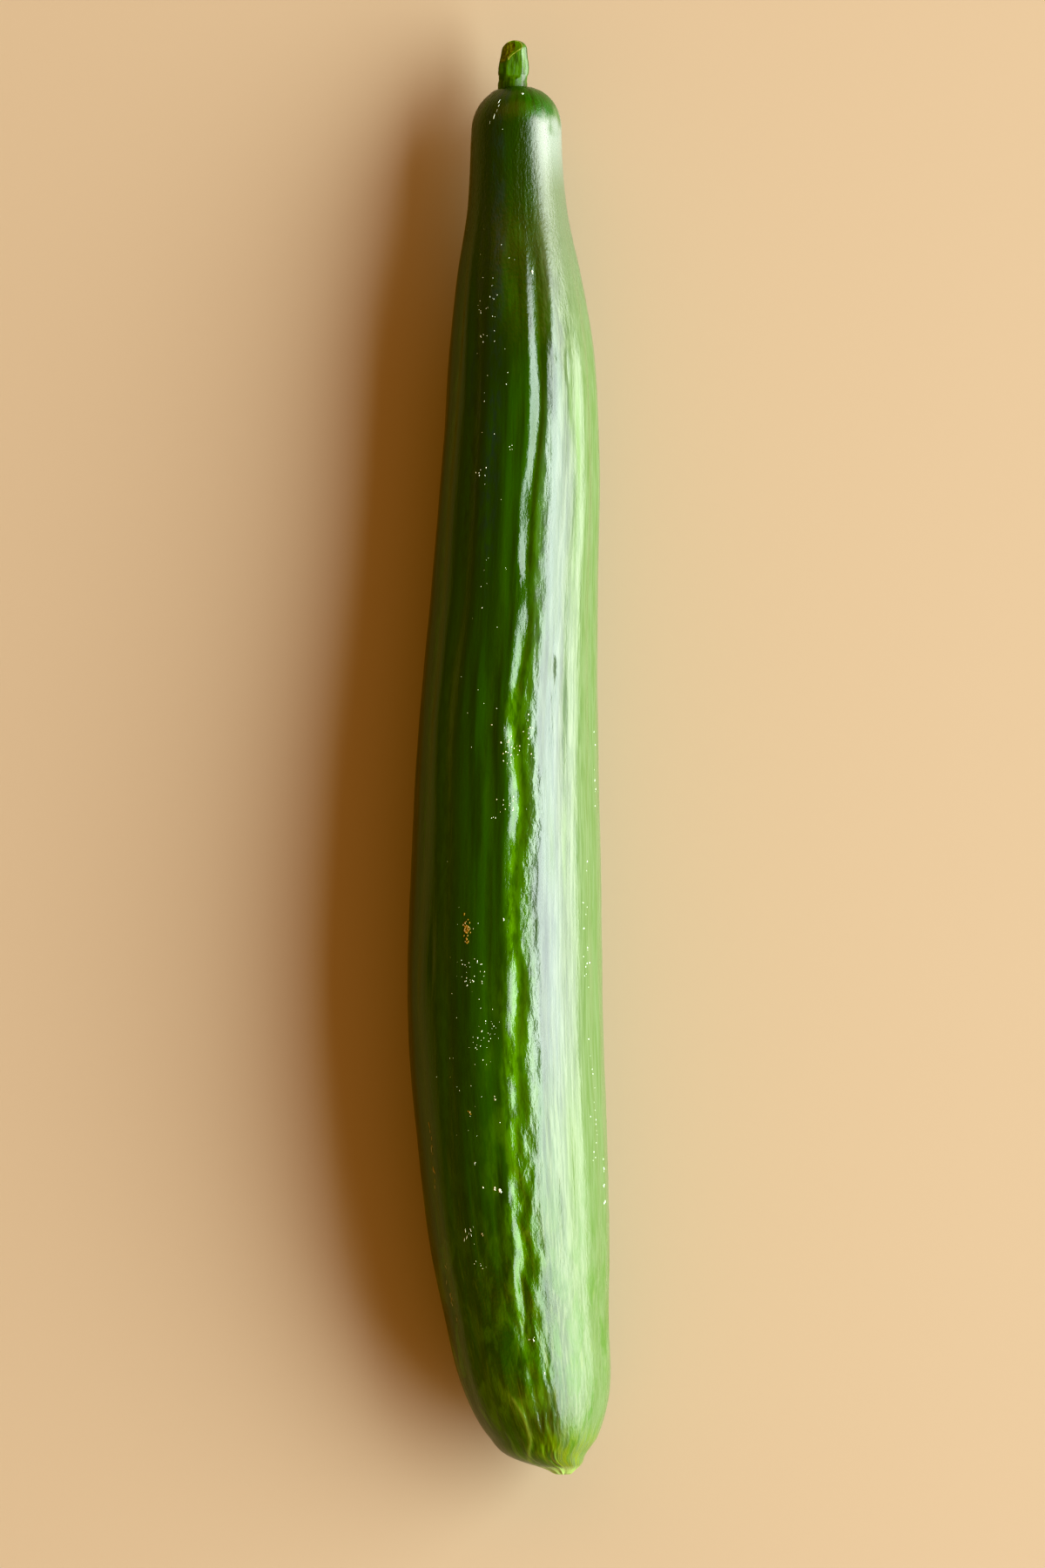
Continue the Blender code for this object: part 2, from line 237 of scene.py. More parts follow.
# Where the skin's colours lie, by spans along the fruit and by degrees round it.
NECK_FADE, TIP_FADE = (20.0, 75.0), (284.0, 302.0)
FURROW_FULL = 0.45  # the depth of a furrow that has its full colour
BLOTCH_SPAN = (-0.45, 0.35)
FRINGE_SPAN, FRINGE_STRIPE_SHARE = (110.0, 170.0), 0.45
# The pale skin starts on the right, where its paleness is painted light, and goes round under the fruit to
# its left, where it is the skin's own paler tone.
# By the blossom end it starts higher.
PAINTED_LIGHT_EDGE, PAINTED_LIGHT_SHIFT, PAINTED_LIGHT_SHIFT_SPAN = (2.0, 66.0), 12.0, (215.0, 250.0)
PALE_UNDER, PALE_LEFT = 60.0, (200.0, 235.0)
# The shine of wax, on the body and on the neck: left edge, right edge, share.
WAX_LEFT, WAX_RIGHT, WAX_SHARE = (-20.0, 4.0), (46.0, 66.0), 0.50
NECK_WAX_LEFT, NECK_WAX_RIGHT, NECK_WAX_SHARE = (20.0, 40.0), (76.0, 100.0), 0.30
NECK_WAX_FADE, NECK_WAX_LOST = (5.0, 26.0), 0.6
WAX_FADES = (((218.0, 240.0), 0.35), ((236.0, 264.0), 0.5))
WAX_LOST_IN_GROOVES, WAX_LOST_IN_GLINT = 0.85, 0.75
# A painted highlight, bluish white, where the window's light shines off the body: degrees, then distances.
PAINTED_HIGHLIGHT_LEFT, PAINTED_HIGHLIGHT_RIGHT = (8.0, 22.0), (30.0, 54.0)
PAINTED_HIGHLIGHT_SPAN, PAINTED_HIGHLIGHT_FADE = (60.0, 90.0), (212.0, 242.0)
GROOVE_WIDTH, GROOVE_PATCHES = 0.75, (-0.55, 0.15)
GROOVE_SPAN, GROOVE_FADE = (60.0, 80.0), (175.0, 205.0)
# Painted shade: from the first span the shaded left side takes a colour of its own, and from the second a
# darker one.
SHADE_SPAN, PAINTED_DEEP_SHADE_SPAN = (12.0, 50.0), (50.0, 72.0)  # degrees to the left of the top
# The dark shoulder has a mottled edge, that wobbles by this much.
SHOULDER_WOBBLE, OFF_SHOULDER = 3.0, (4.0, 10.0)
SHOULDER_FADE, SHOULDER_LEFT = (6.0, 12.0), (-15.0, 20.0)
NECK_TOP_SHARE, NECK_TOP_FADE = 0.6, (20.0, 85.0)
# The lit right side of the neck and shoulder, where a sheen and a highlight are painted: where it starts,
# then degrees.
NECK_SIDE_SPAN, NECK_SIDE_LEFT, NECK_SIDE_RIGHT = (7.0, 12.0), (12.0, 44.0), (80.0, 120.0)
SHOULDER_SIDE_FADE = (12.0, 26.0)
# A painted bluish reflection on the left of the neck: where it fades, then degrees to the left.
BLUE_FADE, BLUE_RIGHT, BLUE_LEFT = (90.0, 150.0), (8.0, 22.0), (42.0, 60.0)
BLOOM_FADE, BLOOM_AT_END, BLOOM_SPAN = (30.0, 66.0), 0.7, (235.0, 300.0)
BLOSSOM_SPAN, TIP_SPAN, NUB_SPAN = (225.0, 312.0), (303.0, 316.5), (316.2, 317.6)
TIP_LEFT_SHARE, TIP_LEFT = 0.12, (-30.0, 20.0)
TIP_LINE_WIDTH, TIP_LINE_COLOURED = 0.42, (298.0, 301.0)

NOISE_ROWS = 512


def curve_through(points):
    """A smooth function through (place, value) points, a cubic between each two, level beyond the ends."""
    at = np.array([p[0] for p in points], float)
    value = np.array([p[1] for p in points], float)
    slope = np.gradient(value, at)

    def curve(x):
        x = np.clip(np.asarray(x, float), at[0], at[-1])
        i = np.clip(np.searchsorted(at, x) - 1, 0, len(at) - 2)
        step = at[i + 1] - at[i]
        t = (x - at[i]) / step
        rise = value[i] * (2 * t**3 - 3 * t**2 + 1) + value[i + 1] * (3 * t**2 - 2 * t**3)
        bend = slope[i] * (t**3 - 2 * t**2 + t) + slope[i + 1] * (t**3 - t**2)
        return rise + step * bend

    return curve


def smoothstep(low, high, x):
    t = np.clip((x - low) / (high - low), 0.0, 1.0)
    return t * t * (3 - 2 * t)


def round_end(depth_in, depth, fullness=2.0):
    """The share of full radius at a depth into a rounded end."""
    t = np.clip(depth_in / depth, 0.0, 1.0)
    return (1 - (1 - t) ** fullness) ** (1 / fullness)


def depths_in(shares, depth, fullness):
    """How deep into a rounded end it reaches each share of its full radius."""
    return depth * (1 - (1 - shares**fullness) ** (1 / fullness))


def angle_between(angle, centre):
    """The signed turn from centre to angle, in radians, the short way round."""
    return (angle - centre + math.pi) % TURN - math.pi


def rising(span, x):
    return smoothstep(*span, x)


def fading(span, x):
    return 1 - smoothstep(*span, x)


def window(x, rise, fall):
    """Rises from 0 to 1 over the first span and falls back over the second."""
    return rising(rise, x) * fading(fall, x)


def bump(x, width):
    return np.exp(-((x / width) ** 2))


def blunt_bump(x, width):
    """A bump with a flatter top and steeper sides."""
    return np.exp(-((x / width) ** 4))


def lattice_noise(seed, across, along, wrap):
    """Smooth noise from -1 to 1 with a cell per unit, which repeats after wrap cells across."""
    table = np.random.RandomState(seed).uniform(-1, 1, (wrap, NOISE_ROWS))
    i, j = np.floor(across).astype(int), np.floor(along).astype(int)
    s, t = across - i, along - j
    s, t = s**3 * (s * (6 * s - 15) + 10), t**3 * (t * (6 * t - 15) + 10)
    left, right, low, high = i % wrap, (i + 1) % wrap, j % NOISE_ROWS, (j + 1) % NOISE_ROWS
    first = table[left, low] * (1 - s) + table[right, low] * s
    second = table[left, high] * (1 - s) + table[right, high] * s
    return first * (1 - t) + second * t


def skin_noise(seed, distance, angle, cells, length):
    """Noise on the skin, in cells drawn out down the fruit and waved so that they don't line up."""
    across = angle / TURN * cells
    along = distance / length
    wave = lattice_noise(seed + 1, across / 2, along / 1.6, cells // 2)
    slide = lattice_noise(seed + 2, across, along / 2.3, cells)
    return lattice_noise(seed, across + 0.45 * wave, along + 0.5 * slide, cells)


RADIUS = curve_through([(s[0], s[1]) for s in STATIONS])
SIDEWAYS = curve_through([(s[0], s[2]) for s in STATIONS])
GAP = curve_through([(s[0], s[3]) for s in STATIONS])
CREASE = curve_through(CREASE_PATH)
TIP_LINE_ANGLE = curve_through(TIP_LINE)
STEM_OUTLINE = curve_through(STEM_STATIONS)


def furrow(across, depth, width):
    """A soft valley with a low lip on each side."""
    valley = bump(across, width)
    lips = bump(np.abs(across) - LIP_PLACE * width, width)
    return depth * (LIP_HEIGHT * lips - valley)


def furrow_angle(distance, at_neck, further_down):
    """Where a furrow runs round the fruit, in degrees, with its slight wander."""
    angle = at_neck + (further_down - at_neck) * rising(FURROW_TURN, distance)
    for count, (swing, length) in enumerate(FURROW_WANDER, start=1):
        angle = angle + swing * np.sin(distance / length + count * further_down)
    return angle


def off_the_underside(angle, power):
    """0 on the resting strip, 1 away from it."""
    underside = angle_between(angle, math.pi) / math.radians(FLAT_HALF_ANGLE)
    return 1 - np.exp(-(underside**power))


def rib_fade(distance, angle):
    ends = rising(RIB_FADE_IN, distance) * fading(RIB_FADE_OUT, distance)
    return ends * off_the_underside(angle, 4)


def crease_across(distance, angle):
    """Distance across the skin from the crease, in millimetres."""
    return RADIUS(distance) * angle_between(angle, np.radians(CREASE(distance)))


def tip_line_across(distance, angle):
    """Distance across the skin from the thin line on the blossom end, in millimetres."""
    end = round_end(FRUIT_LENGTH - distance, BLOSSOM_DEPTH, BLOSSOM_FULLNESS)
    return RADIUS(distance) * end * angle_between(angle, np.radians(TIP_LINE_ANGLE(distance)))


def crease_stripe(distance, angle, place, width, span):
    """A soft stripe that runs beside the crease, from where it comes in."""
    return bump(crease_across(distance, angle) - place, width) * rising(span, distance)


def crease_strength(distance):
    strength = np.ones_like(distance)
    for place, half_length, share in CREASE_BREAKS:
        strength = strength - share * blunt_bump(distance - place, half_length)
    strength = np.maximum(strength, 0.1)
    return strength * (0.95 + 0.15 * np.sin(distance / 7.3) * np.sin(distance / 17.0))


def neck_flat(distance, angle):
    """How deep the flattened top of the neck is, in millimetres."""
    turn = angle_between(angle, math.radians(NECK_FLAT_TURN)) / math.radians(NECK_FLAT_WIDTH)
    along = rising(NECK_FLAT_START, distance) * fading(NECK_FLAT_END, distance)
    return NECK_FLAT_DEPTH * bump(turn, 1.0) * along


def relief(distance, angle):
    """How far the skin stands proud of its round section, in millimetres."""
    radius = RADIUS(distance)
    ribs = np.zeros_like(distance + angle)
    for at_neck, further_down, depth in FURROWS:
        degrees = furrow_angle(distance, at_neck, further_down)
        across = radius * angle_between(angle, np.radians(degrees))
        ribs += furrow(across, depth, FURROW_WIDTH)
    ribs *= 1 - (1 - RIB_SOFTENED) * rising(RIB_SOFTEN, distance)
    ribs += furrow(crease_across(distance, angle), CREASE_DEPTH, CREASE_WIDTH) * crease_strength(distance)
    lobes = LOBE_HEIGHT * np.cos(3 * (angle - math.radians(LOBE_TURN))) * radius / RADIUS(212.0)
    return ribs * rib_fade(distance, angle) + lobes * off_the_underside(angle, 2) - neck_flat(distance, angle)


def layered_noise(layers, seed, distance, angle):
    """The summed height of noise layers, each with seeds of its own."""
    height = np.zeros_like(distance + angle)
    for number, (cells, length, rise) in enumerate(layers):
        height += rise * skin_noise(seed + 5 * number, distance, angle, cells, length)
    return height


def wrinkle_band(distance, angle):
    """1 on the puckered band beside the crease, 0 away from it."""
    near_end = rising(WRINKLE_SHIFT_SPAN, distance)
    place = CREASE(distance) + WRINKLE_BANK - WRINKLE_SHIFT * near_end
    width = WRINKLE_BAND + WRINKLE_SPREAD * near_end
    return blunt_bump(angle_between(angle, np.radians(place)), np.radians(width))


def wrinkle_share(distance, angle):
    """How high the wrinkles are: full in the band, less in the crease itself, faint elsewhere."""
    puckers = PUCKER_SHARE * crease_stripe(distance, angle, *PUCKER_STRIPE)
    puckers = puckers * (1 + PUCKER_GROWTH * rising(PUCKER_GROWTH_SPAN, distance))
    band = (WRINKLES_ELSEWHERE + wrinkle_band(distance, angle)) * rising(WRINKLE_SPAN, distance)
    return (band + puckers) * (1 + WRINKLE_GROWTH * rising(WRINKLE_GROWTH_SPAN, distance))


def shelf_drop(distance, angle):
    """How far the skin has stepped down to the right of the shelves, in millimetres."""
    drop = np.zeros_like(distance + angle)
    for place, half_length, degrees, half_width, step in SHELVES:
        over = RADIUS(distance) * angle_between(angle, math.radians(degrees)) / half_width
        lowered = 0.5 * step * (1 + np.tanh(SHELF_SHARPNESS * over))
        lowered = lowered * bump(np.maximum(over, 0.0), SHELF_RETURN)
        drop += lowered * blunt_bump(distance - place, half_length)
    return drop


def crease_detail(distance, angle):
    """The trough beside the crease, and what makes its right side steep, in millimetres."""
    across = crease_across(distance, angle)
    trough = rising(TROUGH_SPAN, distance) * (1 - TROUGH_LOST * rising(TROUGH_FADE, distance))
    steep = window(distance, STEEP_SPAN, STEEP_FADE) * rising(STEEP_EDGE, across)
    lip = LIP_HEIGHT * bump(np.abs(across) - LIP_PLACE * CREASE_WIDTH, CREASE_WIDTH)
    narrowed = bump(across, CREASE_WIDTH) - bump(across, STEEP_WIDTH) - lip
    steepened = steep * crease_strength(distance) * CREASE_DEPTH * narrowed
    return steepened - TROUGH_DEPTH * bump(across - TROUGH_PLACE, TROUGH_WIDTH) * trough


def fine_relief(distance, angle):
    """Swells, long lines, wrinkles beside the crease, and pits, in millimetres."""
    height = layered_noise(SWELLS, 10, distance, angle) + layered_noise(LONG_LINES, 40, distance, angle)
    height *= SMOOTH_SHOULDER + (1 - SMOOTH_SHOULDER) * rising(SMOOTH_SPAN, distance)
    height += wrinkle_share(distance, angle) * layered_noise(WRINKLES, 70, distance, angle)
    height += BANK_RISE * crease_stripe(distance, angle, *BANK_STRIPE)
    height += crease_detail(distance, angle) - shelf_drop(distance, angle)
    tip_across = tip_line_across(distance, angle)
    for place, width, rise in (TIP_RIDGE, TIP_GROOVE):
        height += rise * bump(tip_across - place, width) * rising(TIP_LINE_SPAN, distance)
    height *= off_the_underside(angle, 2)
    for place, degrees, half_length, half_width, depth in PITS:
        across = RADIUS(distance) * angle_between(angle, math.radians(degrees))
        height -= depth * bump(distance - place, half_length) * bump(across, half_width)
    return height


def nub_relief(reach, angle):
    """How far the blossom scar and the folds round it stand out past the end of the fruit."""
    rise = NUB_HEIGHT * np.exp(-((reach / NUB_RADIUS) ** 3))
    crater = NUB_CRATER * bump(reach, NUB_CRATER_WIDTH)
    folds = np.cos(NUB_FOLDS * angle + 0.8 * np.sin(2 * angle)) + 0.6 * np.cos(14 * angle + 1.0)
    return rise - crater + NUB_FOLD_HEIGHT * folds * window(reach, NUB_FOLDS_IN, NUB_FOLDS_OUT)


def fruit_point(distance, angle):
    """The skin at a distance from the shoulder and an angle round the fruit, as x, y, z in millimetres."""
    shoulder = round_end(distance, SHOULDER_DEPTH, SHOULDER_FULLNESS)
    blossom = round_end(FRUIT_LENGTH - distance, BLOSSOM_DEPTH, BLOSSOM_FULLNESS)
    reach = RADIUS(distance) * shoulder * blossom
    relief_here = relief(distance, angle) + fine_relief(distance, angle)
    out = reach + relief_here * smoothstep(0.0, 6.0, reach)
    past_middle = distance > FRUIT_LENGTH / 2
    # Round the stem the rings centre on it, so that they follow the dimple that it stands in.
    seat_share = fading(SEAT_CENTRED, reach) * (1 - past_middle)
    x = SIDEWAYS(distance) + (STEM_X - SIDEWAYS(distance)) * seat_share + out * np.sin(angle)
    z = np.maximum(RADIUS(distance) + GAP(distance) + out * np.cos(angle), 0.0)
    from_stem = np.hypot(x - STEM_X, z - STEM_Z)
    seat = SEAT_DEPTH * (1 - smoothstep(SEAT_RADIUS - SEAT_WALL, SEAT_RADIUS, from_stem))
    rim = SEAT_RIM_HEIGHT * bump(from_stem - SEAT_RADIUS - SEAT_RIM_PLACE, SEAT_RIM_WIDTH)
    y = -distance - nub_relief(reach, angle) * past_middle + (rim - seat) * (1 - past_middle)
    return np.stack([x, y + 0 * x, z], axis=-1)


def fruit_grid():
    """Distances of the rings and angles of the columns of the fine mesh."""
    shoulder = np.sin(np.linspace(0, math.pi / 2, SHOULDER_RINGS + 1)[1:])
    blossom = np.sin(np.linspace(0, math.pi / 2, BLOSSOM_RINGS + 1)[1:])
    top = depths_in(shoulder, SHOULDER_DEPTH, SHOULDER_FULLNESS)
    end = FRUIT_LENGTH - depths_in(blossom, BLOSSOM_DEPTH, BLOSSOM_FULLNESS)[::-1]
    middle = np.linspace(SHOULDER_DEPTH, FRUIT_LENGTH - BLOSSOM_DEPTH, BODY_RINGS + 1)[1:-1]
    distance = np.concatenate([[0.0], top, middle, end, [FRUIT_LENGTH]])
    turn = np.linspace(0, TURN, FRUIT_SIDES, endpoint=False)
    return distance[:, None], (turn - TOP_CROWDING * np.sin(turn))[None, :]


def new_object(name, data):
    made = bpy.data.objects.new(name, data)
    bpy.context.scene.collection.objects.link(made)
    return made


def smooth_object(name, points, faces):
    mesh = bpy.data.meshes.new(name)
    mesh.from_pydata(points.tolist(), [], faces)
    mesh.shade_smooth()
    return new_object(name, mesh)


def tube_mesh(name, rings):
    """A closed mesh from rings of points in metres. The first and last ring are one point each."""
    count, sides, _ = rings.shape
    points = np.concatenate([rings[0, :1], rings[1:-1].reshape(-1, 3), rings[-1, :1]])
    last = len(points) - 1
    column = np.arange(sides)
    beside = (column + 1) % sides
    here = 1 + np.arange(count - 3)[:, None] * sides
    quads = np.stack([here + column, here + beside, here + sides + beside, here + sides + column], axis=-1)
    base = last - sides
    faces = [(0, int(b) + 1, int(a) + 1) for a, b in zip(column, beside)]
    faces += quads.reshape(-1, 4).tolist()
    faces += [(last, base + int(a), base + int(b)) for a, b in zip(column, beside)]
    return smooth_object(name, points, faces)


def per_point(values, rings_shape):
    """Grid values in the order of tube_mesh's points."""
    values = np.broadcast_to(values, rings_shape + values.shape[2:])
    flat = values[1:-1].reshape(-1, *values.shape[2:])
    return np.concatenate([values[0, :1], flat, values[-1, :1]]).astype(np.float32)


def store(mesh, name, values):
    """Keeps a number or a vector for each point of the mesh."""
    kind, field = ("FLOAT_VECTOR", "vector") if values.ndim == 2 else ("FLOAT", "value")
    mesh.attributes.new(name, kind, "POINT").data.foreach_set(field, values.ravel())


def pale_side_painted_light(distance, degrees):
    """1 where the skin is pale: the right side, as painted light, and round under the fruit to its left, as
    its own paler tone.
    """
    shift = PAINTED_LIGHT_SHIFT * rising(PAINTED_LIGHT_SHIFT_SPAN, distance)
    right = smoothstep(PAINTED_LIGHT_EDGE[0] - shift, PAINTED_LIGHT_EDGE[1] - shift, degrees)
    around = degrees % 360
    under = (around > PALE_UNDER) * fading(PALE_LEFT, around)
    return np.maximum(right, under)


def groove_mask(distance, angle):
    """The furrows that show green through the bright band and its painted highlight, in patches."""
    grooves = np.zeros_like(distance + angle)
    for at_neck, further_down, share in BAND_GROOVES:
        turn = angle_between(angle, np.radians(furrow_angle(distance, at_neck, further_down)))
        grooves = np.maximum(grooves, share * bump(RADIUS(distance) * turn, GROOVE_WIDTH))
    patchy = smoothstep(*GROOVE_PATCHES, skin_noise(120, distance, angle, 12, 24.0))
    return grooves * patchy * window(distance, GROOVE_SPAN, GROOVE_FADE)


def crease_masks(distance, angle):
    """The colours of the furrows and of the crease with what lies beside it."""
    in_furrow = -(relief(distance, angle) + neck_flat(distance, angle)) / FURROW_FULL
    blotches = smoothstep(*BLOTCH_SPAN, skin_noise(90, distance, angle, 44, 8.0))
    band = wrinkle_band(distance, angle) * rising(FRINGE_SPAN, distance)
    fringe = np.maximum(band, FRINGE_STRIPE_SHARE * crease_stripe(distance, angle, *FRINGE_STRIPE))
    before_tip = fading(TIP_FADE, distance)
    return {
        "furrow": np.clip(in_furrow, 0, 1),
        "crease": crease_stripe(distance, angle, *LINE_STRIPE) * before_tip,
        "blotch": crease_stripe(distance, angle, *BLOTCH_STRIPE) * blotches * before_tip,
        "gap": crease_stripe(distance, angle, *GAP_STRIPE) * before_tip,
        "fringe": fringe * before_tip,
    }


def band_masks(distance, angle, degrees):
    """The wax, the painted highlight and the grooves of the bright band."""
    grooves = groove_mask(distance, angle)
    neck = fading(NECK_FADE, distance)
    before_tip = fading(TIP_FADE, distance)
    on_body = WAX_SHARE * window(degrees, WAX_LEFT, WAX_RIGHT)
    on_neck = NECK_WAX_SHARE * window(degrees, NECK_WAX_LEFT, NECK_WAX_RIGHT)
    on_neck = on_neck * (1 - NECK_WAX_LOST * rising(NECK_WAX_FADE, distance))
    wax = (on_body * (1 - neck) + on_neck * neck) * (1 - WAX_LOST_IN_GROOVES * grooves)
    wax = wax * (1 - WAX_LOST_IN_GLINT * crease_stripe(distance, angle, *GLINT_STRIPE))
    wax = wax * (1 - sum(lost * rising(span, distance) for span, lost in WAX_FADES))
    # A painted highlight on the body.
    painted_highlight = window(degrees, PAINTED_HIGHLIGHT_LEFT, PAINTED_HIGHLIGHT_RIGHT) * window(distance, PAINTED_HIGHLIGHT_SPAN, PAINTED_HIGHLIGHT_FADE)
    return {
        "wax": wax * before_tip,
        "painted_highlight": painted_highlight * (1 - grooves) * (1 - neck) * before_tip,
        "groove": grooves,
    }


def neck_masks(distance, angle, degrees):
    """The colours of the shoulder and the neck, with a painted sheen and highlight on their lit right, a
    painted blue reflection on the neck's left, and the pale side that starts below the shoulder, painted
    light on the right.
    """
    mottled_edge = distance + SHOULDER_WOBBLE * skin_noise(95, distance, angle, 30, 3.0)
    off_shoulder = rising(OFF_SHOULDER, mottled_edge)
    pale_painted_light = pale_side_painted_light(distance, degrees)
    neck = fading(NECK_FADE, distance)
    # The lit right side, where sheen and highlight are painted.
    painted_lit_side = rising(NECK_SIDE_SPAN, mottled_edge) * window(degrees % 360, NECK_SIDE_LEFT, NECK_SIDE_RIGHT)
    return {
        "pale_flank_painted_light": pale_painted_light * off_shoulder,
        "neck_top": NECK_TOP_SHARE * fading(NECK_TOP_FADE, distance) * (1 - pale_painted_light) * off_shoulder,
        "painted_neck_sheen": painted_lit_side * neck,
        "painted_shoulder_highlight": painted_lit_side * fading(SHOULDER_SIDE_FADE, distance),
        "shoulder": fading(SHOULDER_FADE, mottled_edge) * rising(SHOULDER_LEFT, degrees),
        "painted_blue_reflection": fading(BLUE_FADE, distance) * window(-degrees, BLUE_RIGHT, BLUE_LEFT),
        "bloom": np.maximum(
            fading(BLOOM_FADE, distance),
            BLOOM_AT_END * rising(BLOOM_SPAN, distance),
        ),
    }


def end_masks(distance, angle, degrees):
    """The colours of the blossom end."""
    to_right = TIP_LEFT_SHARE + (1 - TIP_LEFT_SHARE) * rising(TIP_LEFT, degrees)
    tip_line = bump(tip_line_across(distance, angle), TIP_LINE_WIDTH)
    return {
        "blossom": rising(BLOSSOM_SPAN, distance),
        "tip": rising(TIP_SPAN, distance) * to_right,
        "tip_line": tip_line * rising(TIP_LINE_COLOURED, distance),
        "nub": rising(NUB_SPAN, distance),
    }


def fruit_masks(distance, angle):
    """Where the skin changes colour, each from 0 to 1."""
    degrees = np.degrees(angle_between(angle, 0.0))
    return {
        # Painted shade on the left side, and darker painted shade towards its edge.
        "shade": rising(SHADE_SPAN, -degrees),
        "painted_deep_shade": rising(PAINTED_DEEP_SHADE_SPAN, -degrees),
        **crease_masks(distance, angle),
        **band_masks(distance, angle, degrees),
        **neck_masks(distance, angle, degrees),
        **end_masks(distance, angle, degrees),
    }


def make_fruit(offset):
    distance, angle = fruit_grid()
    rings = (fruit_point(distance, angle) + offset) * MM
    fruit = tube_mesh("cucumber_fruit", rings)
    shape = rings.shape[:2]
    radius = RADIUS(distance)
    place = np.stack([radius * np.sin(angle), distance + 0 * angle, radius * np.cos(angle)], axis=-1)
    store(fruit.data, "place", per_point(place, shape))
    for name, values in fruit_masks(distance, angle).items():
        store(fruit.data, name, per_point(values, shape))
    return fruit


# Pale specks and dry scars on the skin. Each cluster: distance, angle, spread along and round in millimetres,
# count, half length and half width of one, how dry it is from 0 to 1.
SPECKS = (
    (2.6, 8, 0, 0, 1, 0.34, 0.34, 0),
    (44, 12.6, 0.3, 0.2, 2, 0.4, 0.3, 0.1),
    (52.5, -36, 2.6, 1.6, 7, 0.24, 0.14, 0),
    (59, -33.6, 1.2, 0.8, 4, 0.26, 0.14, 0),
    (84.4, -8, 0.8, 0.4, 4, 0.26, 0.16, 0),
    (89.8, -28, 1.6, 2, 7, 0.22, 0.15, 0),
    (112, -8, 0.6, 0.3, 2, 0.26, 0.18, 0),
    (147, -11, 0.3, 0.2, 2, 0.3, 0.2, 0.3),
    (148.5, 12, 4, 1, 13, 0.26, 0.18, 0.3),
    (151, -2, 4, 1.6, 15, 0.26, 0.18, 0.5),
    (154, 3, 3, 1.6, 12, 0.24, 0.18, 0.3),
    (165, 3.5, 1.4, 3, 14, 0.24, 0.18, 0.4),
    (168, -9, 0.2, 0.7, 3, 0.28, 0.18, 0),
    (191, -1.6, 0, 0, 1, 0.4, 0.16, 0),
    (204, -19.8, 3.6, 2.2, 26, 0.22, 0.15, 0),
    (215, -10, 3.4, 2.4, 20, 0.2, 0.15, 0),
    (220, -17, 3, 1.6, 12, 0.2, 0.15, 0),
    (231.2, -9, 0.3, 0.2, 3, 0.4, 0.22, 0.4),
    (234.4, -24.8, 0.8, 0.3, 4, 0.34, 0.22, 0.9),
    (236.8, -6.6, 0, 0, 1, 0.4, 0.26, 0.1),
    (247, -24.4, 1.6, 0.2, 4, 0.22, 0.16, 0.1),
    (252, -13, 0.5, 0.5, 6, 0.36, 0.3, 0.5),
    (252, -9, 0.6, 0.4, 3, 0.5, 0.4, 0),
    (251.6, -20, 0, 0, 1, 0.34, 0.2, 0.4),
    (262.5, -23, 0.5, 0.3, 3, 0.36, 0.24, 0.9),
    (262, -33, 3, 1.2, 8, 0.6, 0.1, 0.3),
    (270, -29, 1.2, 1.6, 6, 0.28, 0.18, 0.2),
    (286, 0, 0.5, 1.4, 6, 0.28, 0.18, 0),
    (294, 7.5, 0.4, 0.3, 2, 0.26, 0.2, 0.1),
    (193.6, -24, 2.6, 0.7, 34, 0.42, 0.26, 1),
    (248, -59, 9, 0.5, 16, 1.1, 0.14, 0.8),
    (276, -60, 8, 1, 18, 1.2, 0.15, 0.8),
    (156, 72, 9, 0.6, 9, 0.24, 0.16, 0),
    (196, 56, 14, 1.6, 18, 0.24, 0.16, 0),
    (235, 60, 16, 1.6, 16, 0.24, 0.16, 0),
    (252, 72, 5, 0.5, 7, 0.44, 0.16, 0),
    (50, -27, 26, 4, 26, 0.17, 0.12, 0),
    (120, -20, 34, 6, 16, 0.17, 0.12, 0.1),
    (215, -22, 36, 6, 34, 0.17, 0.12, 0.2),
    (4.4, -30, 0, 0, 1, 0.75, 0.1, 0.1),
    (5.4, -28, 0, 0, 1, 0.75, 0.1, 0.1),
    (6.6, -29, 0, 0, 1, 0.85, 0.1, 0.1),
    (8, -32, 0, 0, 1, 0.85, 0.1, 0.1),
    (9.3, -37.5, 0, 0, 1, 0.85, 0.1, 0.1),
)
SPECK_RISE, SPECK_RISE_AT = 0.13, 0.2  # how far a speck stands out, and the half width of one that does
# How much specks scatter over their cluster's spread, turn in radians, and differ in dryness.
SPECK_SPREAD, SPECK_TURN, SPECK_DRY_SPREAD = 0.6, 0.35, 0.12
SPECK_SIZES, SPECK_LUMPS = (0.40, 0.95), (0.65, 1.15)  # how large one is, and how uneven its outline


def skin_frames(distance, angle):
    """Points on the skin and their directions along, round and out."""
    here = fruit_point(distance, angle)
    along = fruit_point(distance + 0.4, angle) - here
    round_it = fruit_point(distance, angle + 0.02) - here
    along /= np.linalg.norm(along, axis=-1, keepdims=True)
    out = np.cross(along, round_it)
    out /= np.linalg.norm(out, axis=-1, keepdims=True)
    return here, along, np.cross(out, along), out


